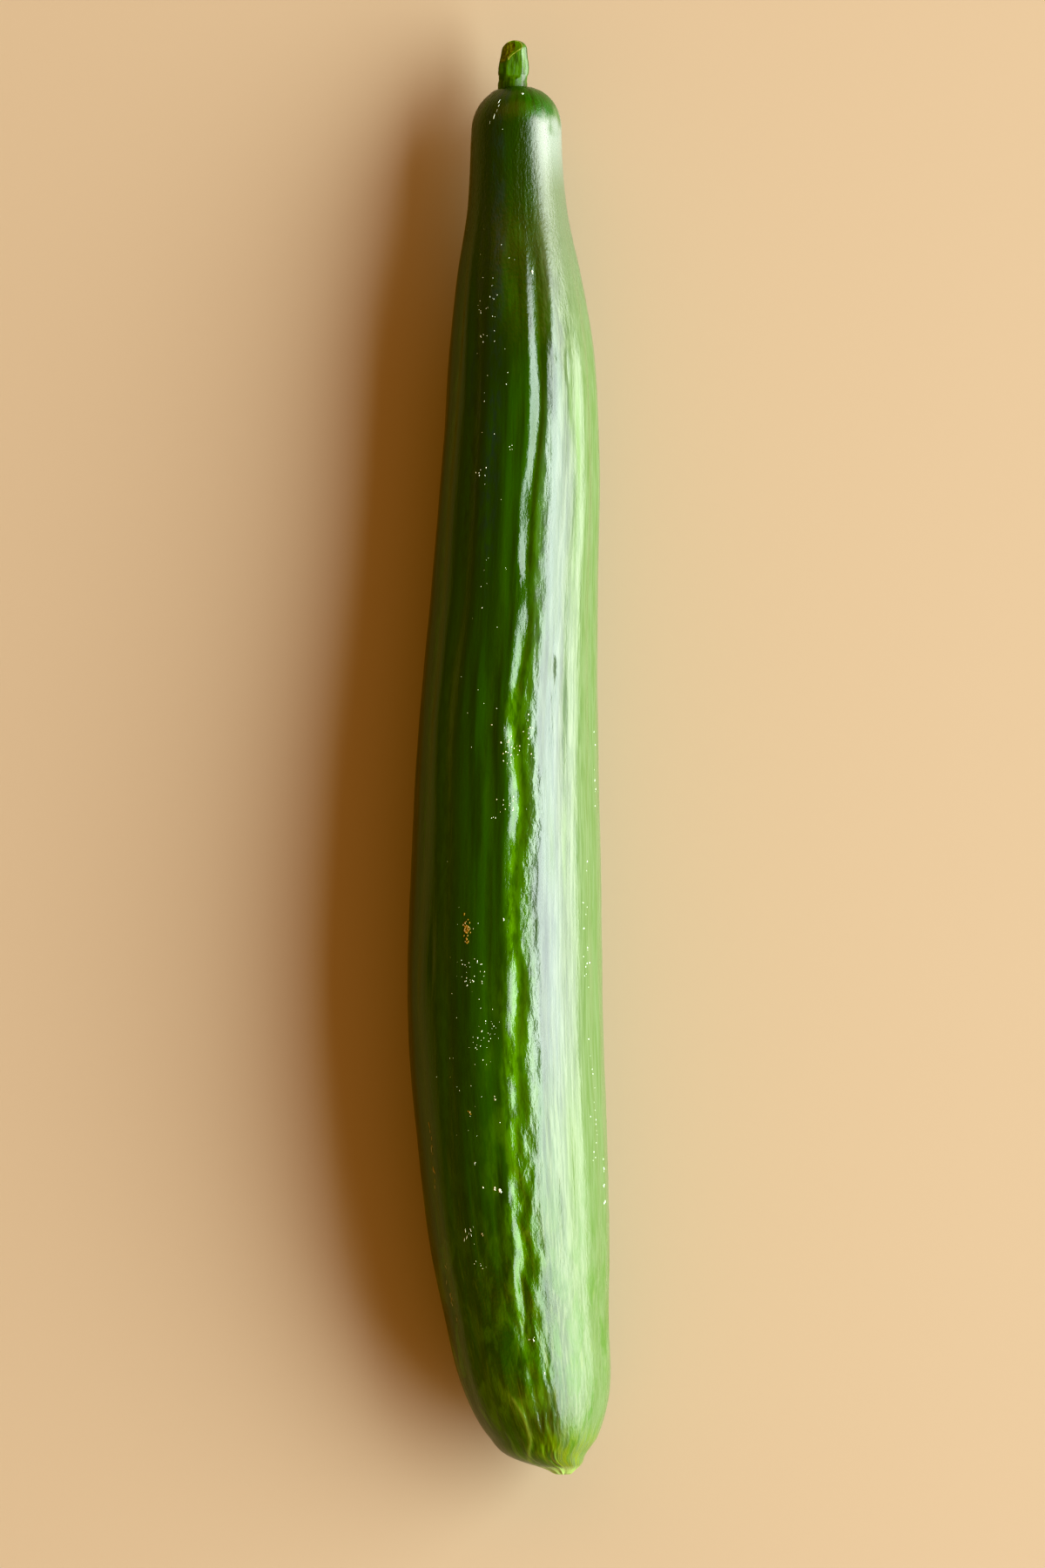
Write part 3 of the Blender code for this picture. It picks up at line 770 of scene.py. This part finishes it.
def make_specks(offset):
    """Every speck and scar as a low blob, half sunk in the skin, in one mesh."""
    draw = np.random.RandomState(31)
    ball = bmesh.new()
    bmesh.ops.create_icosphere(ball, subdivisions=2, radius=1.0)
    unit = np.array([list(vertex.co) for vertex in ball.verts])
    corners = np.array([[vertex.index for vertex in face.verts] for face in ball.faces])
    ball.free()
    points, faces, dryness = [], [], []
    for distance, degrees, spread_along, spread_round, count, half_length, half_width, dry in SPECKS:
        slide = draw.normal(0, SPECK_SPREAD, (count, 2)) * (spread_along, spread_round)
        distances = distance + slide[:, 0]
        angles = math.radians(degrees) + slide[:, 1] / RADIUS(distances)
        here, along, across, out = skin_frames(distances, angles)
        for number in range(count):
            size = draw.uniform(*SPECK_SIZES)
            turn = draw.normal(0, SPECK_TURN)
            lumpy = unit * draw.uniform(*SPECK_LUMPS, (len(unit), 1)) * size
            forward = math.cos(turn) * along[number] + math.sin(turn) * across[number]
            sideways = np.cross(out[number], forward)
            body = lumpy[:, :1] * half_width * sideways + lumpy[:, 1:2] * half_length * forward
            body += lumpy[:, 2:] * SPECK_RISE * (half_width / SPECK_RISE_AT) ** 0.5 * out[number]
            faces += (corners + len(points) * len(unit)).tolist()
            points.append((here[number] + body + offset) * MM)
            dryness.append(np.full(len(unit), np.clip(dry + draw.normal(0, SPECK_DRY_SPREAD), 0, 1)))
    specks = smooth_object("cucumber_specks", np.concatenate(points), faces)
    store(specks.data, "dry", np.concatenate(dryness).astype(np.float32))
    return specks


def stem_rib_relief(angle):
    """The stem's ribs and the grooves between them, in millimetres from its outline."""
    ribs = np.zeros_like(angle)
    for degrees in STEM_RIBS:
        turn = np.degrees(angle_between(angle, math.radians(degrees)))
        ribs += bump(turn, STEM_RIB_WIDTH)
    return STEM_RIB_HEIGHT * (ribs - 0.5)


def stem_rings():
    """Rings of the fine stem, in millimetres, and how far beyond each cut face each point was."""
    body = np.linspace(-STEM_SINK, STEM_LENGTH - STEM_TIP_DEPTH, STEM_RINGS - 24)
    tip = STEM_LENGTH - STEM_TIP_DEPTH * (1 - np.sin(np.linspace(0, math.pi / 2, 25)[1:]))
    out = np.concatenate([[-STEM_SINK], body, tip])[:, None]
    angle = np.linspace(0, TURN, STEM_SIDES, endpoint=False)[None, :]
    ribs = stem_rib_relief(angle) * rising(STEM_RIB_START, out)
    count, length, height = STEM_LINES
    lines = height * lattice_noise(5, angle / TURN * count, out / length, count)
    middle, half_length, height = STEM_FOLDS
    folds = height * np.sin(out * 5.0 + 0.8 * np.sin(angle + 1.0)) * bump(out - middle, half_length)
    radius = STEM_OUTLINE(out) + ribs
    for facing, share in STEM_FLATS:
        turn = angle_between(angle, math.radians(facing))
        flat = share * STEM_OUTLINE(out) / np.maximum(np.cos(turn), 0.2)
        radius = np.minimum(radius, flat + fading(STEM_FLAT_START, out))
    radius = radius + lines + folds
    radius = radius * round_end(STEM_LENGTH - out, STEM_TIP_DEPTH)
    radius[0] = 0.0
    x = STEM_X + STEM_LEAN * out + radius * np.sin(angle)
    z = STEM_Z + radius * np.cos(angle)
    points = np.stack([x, out + 0 * angle, z], axis=-1)
    fibres = FIBRE_HEIGHT * lattice_noise(8, points[..., 0] * 2.2 + 40, points[..., 1] * 0.7 + 40, 97)
    beyond = []
    for corner, direction in CUT_FACES:
        normal = np.array(direction) / np.linalg.norm(direction)
        past = (points - np.array([STEM_X, 0.0, STEM_Z]) - np.array(corner)) @ normal - fibres
        points = points - np.maximum(past, 0.0)[..., None] * normal
        beyond.append(past)
    return points, beyond


def make_stem(offset):
    points, (past_dry, past_fresh) = stem_rings()
    stem = tube_mesh("cucumber_stem", (points[::-1] + offset) * MM)
    shape = points.shape[:2]
    store(stem.data, "place", per_point(points[::-1], shape))
    store(stem.data, "cut", per_point(smoothstep(0.0, CUT_EDGE, past_dry[::-1]), shape))
    store(stem.data, "fresh", per_point(smoothstep(0.0, CUT_EDGE, past_fresh[::-1]), shape))
    turn = np.linspace(0, 360.0, STEM_SIDES, endpoint=False)[None, :]
    store(stem.data, "chamfer", per_point(window(turn, CHAMFER_LEFT, CHAMFER_RIGHT), shape))
    return stem


def new_material(name):
    material = bpy.data.materials.new(name)
    material.use_nodes = True
    return material, material.node_tree, material.node_tree.nodes["Principled BSDF"]


def add(tree, kind, inputs=None, **settings):
    """A shader node with its settings, and its inputs set or linked."""
    made = tree.nodes.new(kind)
    for name, value in settings.items():
        setattr(made, name, value)
    for name, value in (inputs or {}).items():
        if isinstance(value, bpy.types.NodeSocket):
            tree.links.new(value, made.inputs[name])
        else:
            made.inputs[name].default_value = value
    return made


def stored(tree, name):
    return add(tree, "ShaderNodeAttribute", attribute_name=name).outputs["Fac"]


def noise(tree, place, across, along, detail=3.0, distortion=0.0):
    """Noise whose cells measure across and along, in millimetres."""
    scale = (1 / across, 1 / along, 1 / across)
    mapped = add(tree, "ShaderNodeMapping", {"Vector": place, "Scale": scale})
    made = add(
        tree,
        "ShaderNodeTexNoise",
        {"Vector": mapped.outputs["Vector"], "Scale": 1.0, "Detail": detail, "Distortion": distortion},
    )
    return made.outputs["Fac"]


def between(tree, value, low, high, out_low=0.0, out_high=1.0):
    """Maps low to out_low and high to out_high smoothly, level beyond them."""
    inputs = {"Value": value, "From Min": low, "From Max": high, "To Min": out_low, "To Max": out_high}
    made = add(tree, "ShaderNodeMapRange", inputs, interpolation_type="SMOOTHSTEP")
    return made.outputs["Result"]


def maths(tree, operation, first, second):
    return add(tree, "ShaderNodeMath", {0: first, 1: second}, operation=operation).outputs["Value"]


def mix(tree, share, first, second):
    """A colour from first to second by share."""
    made = add(tree, "ShaderNodeMix", data_type="RGBA")
    for index, value in ((0, share), (6, first), (7, second)):
        if isinstance(value, bpy.types.NodeSocket):
            tree.links.new(value, made.inputs[index])
        else:
            made.inputs[index].default_value = value if index == 0 else (*value, 1.0)
    return made.outputs[2]


SKIN_DARK = (0.006, 0.038, 0.0002)
SKIN_MID = (0.011, 0.072, 0.0003)
SKIN_FURROW = (0.026, 0.098, 0.0006)
SKIN_CREASE = (0.065, 0.205, 0.001)
SKIN_BLOTCH = (0.045, 0.145, 0.0006)
# The pale flank in two tones: painted light on the lit right side, and the skin's own paler tone round under
# the fruit.
SKIN_PALE_FLANK_PAINTED_LIGHT = (0.115, 0.19, 0.075)
SKIN_PALE_FLANK_PAINTED_LIGHT_DARKER = (0.088, 0.165, 0.045)
# Painted shade: the colour of the shaded left side, then the darker one at its left edge.
SKIN_SHADE = (0.007, 0.05, 0.0002)
SKIN_PAINTED_DEEP_SHADE = (0.011, 0.028, 0.0002)
SKIN_SHOULDER = (0.008, 0.085, 0.0004)
SKIN_GAP = (0.036, 0.13, 0.0012)
SKIN_LINE = (0.13, 0.21, 0.03)
SKIN_NECK = (0.004, 0.027, 0.0006)
# Painted highlight: bluish white where the window's light shines off the body.
SKIN_PAINTED_HIGHLIGHT = (0.085, 0.115, 0.12)
SKIN_GROOVE = (0.095, 0.2, 0.03)
# Painted light on the lit right of the shoulder and neck: a whitish highlight on the shoulder, a whitish
# sheen down the neck.
SKIN_PAINTED_SHOULDER_HIGHLIGHT = (0.195, 0.255, 0.205)
SKIN_PAINTED_NECK_SHEEN = (0.105, 0.15, 0.08)
# Painted reflection: bluish, on the left of the neck.
SKIN_PAINTED_BLUE_REFLECTION = (0.008, 0.04, 0.034)
SKIN_STREAK = (0.11, 0.19, 0.01)
SKIN_TIP = (0.13, 0.2, 0.002)
SKIN_NUB = (0.25, 0.4, 0.11)


# The skin's layers of colour from the lowest up: stored mask, share, colour. A share is a number, or a noise
# with its low and high value and the shares that it gives there.
LOWER_LAYERS = (
    ("shade", ("fine_streaks", 0.3, 0.7, 0.4, 1.0), SKIN_SHADE),
    ("painted_deep_shade", 1.0, SKIN_PAINTED_DEEP_SHADE),
    ("gap", ("mottle", 0.3, 0.6, 0.4, 1.0), SKIN_GAP),
    ("furrow", ("mottle", 0.3, 0.7, 0.3, 0.75), SKIN_FURROW),
    ("blotch", ("mottle", 0.36, 0.6, 0.25, 0.9), SKIN_BLOTCH),
    ("crease", ("mottle", 0.35, 0.6, 0.3, 0.95), SKIN_CREASE),
)
UPPER_LAYERS = (
    ("painted_highlight", 0.30, SKIN_PAINTED_HIGHLIGHT),
    ("groove", 0.7, SKIN_GROOVE),
    ("neck_top", 1.0, SKIN_NECK),
    ("painted_neck_sheen", 1.0, SKIN_PAINTED_NECK_SHEEN),
    ("painted_shoulder_highlight", 0.9, SKIN_PAINTED_SHOULDER_HIGHLIGHT),
    ("shoulder", ("mottle", 0.35, 0.6, 0.2, 1.0), SKIN_SHOULDER),
    ("painted_blue_reflection", ("mottle", 0.35, 0.65, 0.35, 1.0), SKIN_PAINTED_BLUE_REFLECTION),
    ("blossom", ("patches", 0.46, 0.66, 0.0, 0.75), SKIN_BLOTCH),
    ("blossom", ("fine_streaks", 0.56, 0.74, 0.0, 0.45), SKIN_STREAK),
    ("tip", ("mottle", 0.36, 0.62, 0.1, 0.9), SKIN_TIP),
    ("nub", 1.0, SKIN_NUB),
    ("tip_line", ("mottle", 0.3, 0.6, 0.3, 0.9), SKIN_LINE),
)


def layered(tree, colour, noises, layers):
    """Lays colours over one another by their stored masks."""
    for mask, share, shown in layers:
        if isinstance(share, tuple):
            share = between(tree, noises[share[0]], *share[1:])
        colour = mix(tree, maths(tree, "MULTIPLY", stored(tree, mask), share), colour, shown)
    return colour


def skin_colour(tree, place, streaks):
    fine_streaks = noise(tree, place, 0.55, 14.0, 5.0, 0.4)
    noises = {
        "mottle": noise(tree, place, 1.2, 4.0, 4.0),
        "fine_streaks": fine_streaks,
        "patches": noise(tree, place, 3.2, 9.0, 5.0, 0.6),
    }
    colour = mix(tree, between(tree, streaks, 0.38, 0.64), SKIN_DARK, SKIN_MID)
    colour = layered(tree, colour, noises, LOWER_LAYERS)
    # The pale flank, painted light on the lit right side, with a ragged edge.
    pale_flank_painted_light = mix(tree, between(tree, fine_streaks, 0.36, 0.64), SKIN_PALE_FLANK_PAINTED_LIGHT_DARKER, SKIN_PALE_FLANK_PAINTED_LIGHT)
    ragged = maths(tree, "ADD", stored(tree, "pale_flank_painted_light"), between(tree, fine_streaks, 0.3, 0.7, -0.16, 0.16))
    colour = mix(tree, between(tree, ragged, 0.05, 0.95), colour, pale_flank_painted_light)
    return layered(tree, colour, noises, UPPER_LAYERS)


def skin_texture(tree, place, threads):
    """The finest relief: threads, grain and, beside the crease, puckers."""
    grain = noise(tree, place, 0.5, 1.1, 3.0)
    puckers = noise(tree, place, 0.8, 2.2, 3.0, 0.8)
    bloom = stored(tree, "bloom")
    grain_share = maths(tree, "ADD", maths(tree, "MULTIPLY", bloom, 2.0), 1.0)
    thread_share = maths(tree, "ADD", maths(tree, "MULTIPLY", bloom, -0.8), 1.1)
    pucker_share = maths(tree, "MULTIPLY", stored(tree, "fringe"), 5.0)
    height = maths(tree, "MULTIPLY", threads, thread_share)
    height = maths(tree, "ADD", height, maths(tree, "MULTIPLY", grain, grain_share))
    return maths(tree, "ADD", height, maths(tree, "MULTIPLY", puckers, pucker_share))


def skin_roughness(tree, threads):
    """Duller where the bloom lies, glassier on the shaded side."""
    sheen = between(tree, threads, 0.3, 0.7, 0.16, 0.25)
    dull = maths(tree, "MULTIPLY", stored(tree, "bloom"), 0.10)
    glassy = maths(tree, "MULTIPLY", stored(tree, "shade"), -0.06)
    return maths(tree, "ADD", maths(tree, "ADD", sheen, dull), glassy)


def skin_material():
    material, tree, shader = new_material("cucumber_skin_look")
    place = add(tree, "ShaderNodeAttribute", attribute_name="place").outputs["Vector"]
    streaks = noise(tree, place, 2.2, 50.0, 4.0)
    threads = noise(tree, place, 0.7, 9.0, 4.0, 0.3)
    tree.links.new(skin_colour(tree, place, streaks), shader.inputs["Base Color"])
    tree.links.new(skin_roughness(tree, threads), shader.inputs["Roughness"])
    wax = maths(tree, "MULTIPLY", stored(tree, "wax"), between(tree, threads, 0.36, 0.62, 0.75, 1.0))
    wax = maths(tree, "MULTIPLY", wax, between(tree, streaks, 0.38, 0.58, 0.55, 1.0))
    tree.links.new(wax, shader.inputs["Coat Weight"])
    shader.inputs["IOR"].default_value = 1.48
    shader.inputs["Coat Roughness"].default_value = 0.12
    height = skin_texture(tree, place, threads)
    relief_bump = add(tree, "ShaderNodeBump", {"Height": height, "Strength": 1.0, "Distance": 0.00004})
    tree.links.new(relief_bump.outputs["Normal"], shader.inputs["Normal"])
    tree.links.new(relief_bump.outputs["Normal"], shader.inputs["Coat Normal"])
    return material


STEM_GREEN = (0.045, 0.140, 0.002)
STEM_DARK = (0.016, 0.060, 0.001)
STEM_FRESH = (0.065, 0.190, 0.003)
STEM_DRY = (0.110, 0.150, 0.003)
STEM_DRY_DARK = (0.040, 0.052, 0.001)
STEM_RIM = (0.330, 0.480, 0.110)


def stem_material():
    material, tree, shader = new_material("stem_skin_look")
    place = add(tree, "ShaderNodeAttribute", attribute_name="place").outputs["Vector"]
    streaks = noise(tree, place, 0.7, 5.0, 4.0)
    colour = mix(tree, between(tree, streaks, 0.35, 0.65), STEM_DARK, STEM_GREEN)
    fibres = noise(tree, place, 0.35, 1.6, 4.0)
    dry = mix(tree, between(tree, fibres, 0.4, 0.6), STEM_DRY_DARK, STEM_DRY)
    fresh = stored(tree, "fresh")
    rim = maths(tree, "MULTIPLY", between(tree, fresh, 0.0, 0.35), between(tree, fresh, 1.0, 0.5))
    colour = mix(tree, fresh, colour, STEM_FRESH)
    colour = mix(tree, rim, colour, STEM_RIM)
    colour = mix(tree, stored(tree, "cut"), colour, dry)
    tree.links.new(colour, shader.inputs["Base Color"])
    tree.links.new(between(tree, fibres, 0.3, 0.7, 0.34, 0.5), shader.inputs["Roughness"])
    shader.inputs["IOR"].default_value = 1.34
    tree.links.new(stored(tree, "chamfer"), shader.inputs["Coat Weight"])
    shader.inputs["Coat Roughness"].default_value = 0.15
    relief_bump = add(tree, "ShaderNodeBump", {"Height": fibres, "Strength": 0.7, "Distance": 0.00008})
    tree.links.new(relief_bump.outputs["Normal"], shader.inputs["Normal"])
    return material


# The specks' pale colour, whitened past their own tone to paint the glints they catch.
SPECK_PALE_AND_PAINTED_GLINT = (0.75, 1.00, 0.92)
SPECK_DRY = (0.30, 0.20, 0.030)


def speck_material():
    material, tree, shader = new_material("speck_look")
    position = add(tree, "ShaderNodeNewGeometry").outputs["Position"]
    patches = add(tree, "ShaderNodeTexNoise", {"Vector": position, "Scale": 2500.0, "Detail": 2.0})
    colour = mix(tree, stored(tree, "dry"), SPECK_PALE_AND_PAINTED_GLINT, SPECK_DRY)
    shade = between(tree, patches.outputs["Fac"], 0.4, 0.8, 0.0, 0.4)
    colour = mix(tree, shade, colour, SKIN_CREASE)
    tree.links.new(colour, shader.inputs["Base Color"])
    tree.links.new(between(tree, stored(tree, "dry"), 0.1, 0.6, 1.0, 0.0), shader.inputs["Coat Weight"])
    shader.inputs["Coat Roughness"].default_value = 0.08
    shader.inputs["Roughness"].default_value = 0.35
    return material


# The floor and the light.
FLOOR_SIZE = 16.0
FLOOR_COLOUR = (0.332, 0.304, 0.200)
# The room is dim at the sides, with warm walls before and behind. A direction meets them as far as it runs
# along Y.
ROOM_COLOUR, WALL_COLOUR = (0.40, 0.20, 0.06), (1.95, 0.88, 0.46)
WALL_FROM, WALL_FULL = 0.30, 0.70
WALL_FOOT = (0.10, 0.50)  # the walls fade out towards the floor, between these heights of a direction
VIEW_GAMMA = 0.8
# How the view treats blue, as (light, shown): dark blues sink, as in the photograph.
VIEW_BLUE = ((0.0, 0.0), (0.014, 0.0005), (0.040, 0.022), (0.140, 0.135), (1.0, 1.0))
# The window's panes: lowest and highest elevation in degrees, radiance, colour.
WINDOW_DISTANCE = 2.5
WINDOW_ENDS = (-2.7, 1.9)
PANES = (
    (0.2, 17.0, 6.9, (0.96, 0.95, 0.96)),
    (17.0, 34.0, 9.7, (0.94, 0.95, 0.98)),
    (34.0, 57.0, 12.0, (0.89, 0.93, 0.98)),
)

CAMERA_LENS, CAMERA_SENSOR = 150.0, 36.0
FRAME_HEIGHT = 0.360  # of the picture, at the height of the fruit's outline
OUTLINE_HEIGHT = 0.0181
FRAME_CENTRE = (600.0, 900.0)  # of the photograph, in its pixels
SHOULDER_PIXEL = (600.0, 98.0)  # the shoulder's distance 0 and sideways 0 there
MM_PER_PIXEL = 0.2


def make_floor():
    mesh = bpy.data.meshes.new("floor")
    half = FLOOR_SIZE / 2
    corners = [(-half, -half, 0), (half, -half, 0), (half, half, 0), (-half, half, 0)]
    mesh.from_pydata(corners, [], [(0, 1, 2, 3)])
    floor = new_object("floor", mesh)
    material, tree, shader = new_material("floor_look")
    shader.inputs["Base Color"].default_value = (*FLOOR_COLOUR, 1.0)
    shader.inputs["Roughness"].default_value = 0.6
    mesh.materials.append(material)


def area_light(name, centre, back, size, radiance, colour):
    """A flat light of one radiance. back points away from what it lights, size is across and up."""
    data = bpy.data.lights.new(name, "AREA")
    data.shape = "RECTANGLE"
    data.size, data.size_y = size
    data.energy = radiance * math.pi * size[0] * size[1]
    data.color = colour
    light = new_object(name, data)
    light.location = centre
    light.rotation_euler = back.to_track_quat("Z", "Y").to_euler()
    light.visible_camera = False


def make_lights():
    across = WINDOW_ENDS[1] - WINDOW_ENDS[0]
    middle = (WINDOW_ENDS[0] + WINDOW_ENDS[1]) / 2
    for number, (low, high, radiance, colour) in enumerate(PANES, start=1):
        bottom, top = (WINDOW_DISTANCE * math.tan(math.radians(edge)) for edge in (low, high))
        centre = Vector((WINDOW_DISTANCE, middle, (bottom + top) / 2))
        area_light(f"window_{number}", centre, Vector((1, 0, 0)), (across, top - bottom), radiance, colour)
    world = bpy.data.worlds.new("dim_room")
    world.use_nodes = True
    tree = world.node_tree
    direction = add(tree, "ShaderNodeTexCoord").outputs["Generated"]
    parts = add(tree, "ShaderNodeSeparateXYZ", {"Vector": direction}).outputs
    sideways = between(tree, maths(tree, "ABSOLUTE", parts["Y"], 0.0), WALL_FROM, WALL_FULL)
    share = maths(tree, "MULTIPLY", sideways, between(tree, parts["Z"], *WALL_FOOT))
    colour = mix(tree, share, ROOM_COLOUR, WALL_COLOUR)
    tree.links.new(colour, tree.nodes["Background"].inputs["Color"])
    bpy.context.scene.world = world


def make_camera(offset):
    """Looks straight down, with the picture's up along +Y."""
    x = (FRAME_CENTRE[0] - SHOULDER_PIXEL[0]) * MM_PER_PIXEL + offset[0]
    y = (SHOULDER_PIXEL[1] - FRAME_CENTRE[1]) * MM_PER_PIXEL + offset[1]
    data = bpy.data.cameras.new("camera")
    data.lens, data.sensor_width = CAMERA_LENS, CAMERA_SENSOR
    camera = new_object("camera", data)
    away = CAMERA_LENS / CAMERA_SENSOR * FRAME_HEIGHT
    camera.location = (x * MM, y * MM, OUTLINE_HEIGHT + away)
    bpy.context.scene.camera = camera


def frame_offset():
    """What moves a point worked out from the shoulder, in millimetres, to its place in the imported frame."""
    low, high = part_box("fruit")
    distance, angle = fruit_grid()
    x = fruit_point(distance, angle)[..., 0]
    y_shift = low.y / MM + FRUIT_LENGTH + NUB_HEIGHT
    return np.array([(low.x + high.x) / 2 / MM - (x.min() + x.max()) / 2, y_shift, 0.0])


def set_view():
    view = bpy.context.scene.view_settings
    view.view_transform = "Standard"
    view.look = "None"
    view.exposure = 0.0
    view.gamma = VIEW_GAMMA
    view.use_curve_mapping = True
    blue = view.curve_mapping.curves[2]
    for place, (light, shown) in enumerate(VIEW_BLUE):
        if 0 < place < len(VIEW_BLUE) - 1:
            blue.points.new(light, shown)
    view.curve_mapping.update()


def main():
    offset = frame_offset()
    make_camera(offset)
    fruit = make_fruit(offset)
    fruit.data.materials.append(skin_material())
    stem = make_stem(offset)
    stem.data.materials.append(stem_material())
    for piece, node, slot in ((fruit, "fruit", "cucumber_skin"), (stem, "stem", "stem_skin")):
        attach(piece, "root")
        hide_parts(node)
    specks = make_specks(offset)
    specks.data.materials.append(speck_material())
    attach(specks, "root")
    make_floor()
    make_lights()
    set_view()


main()
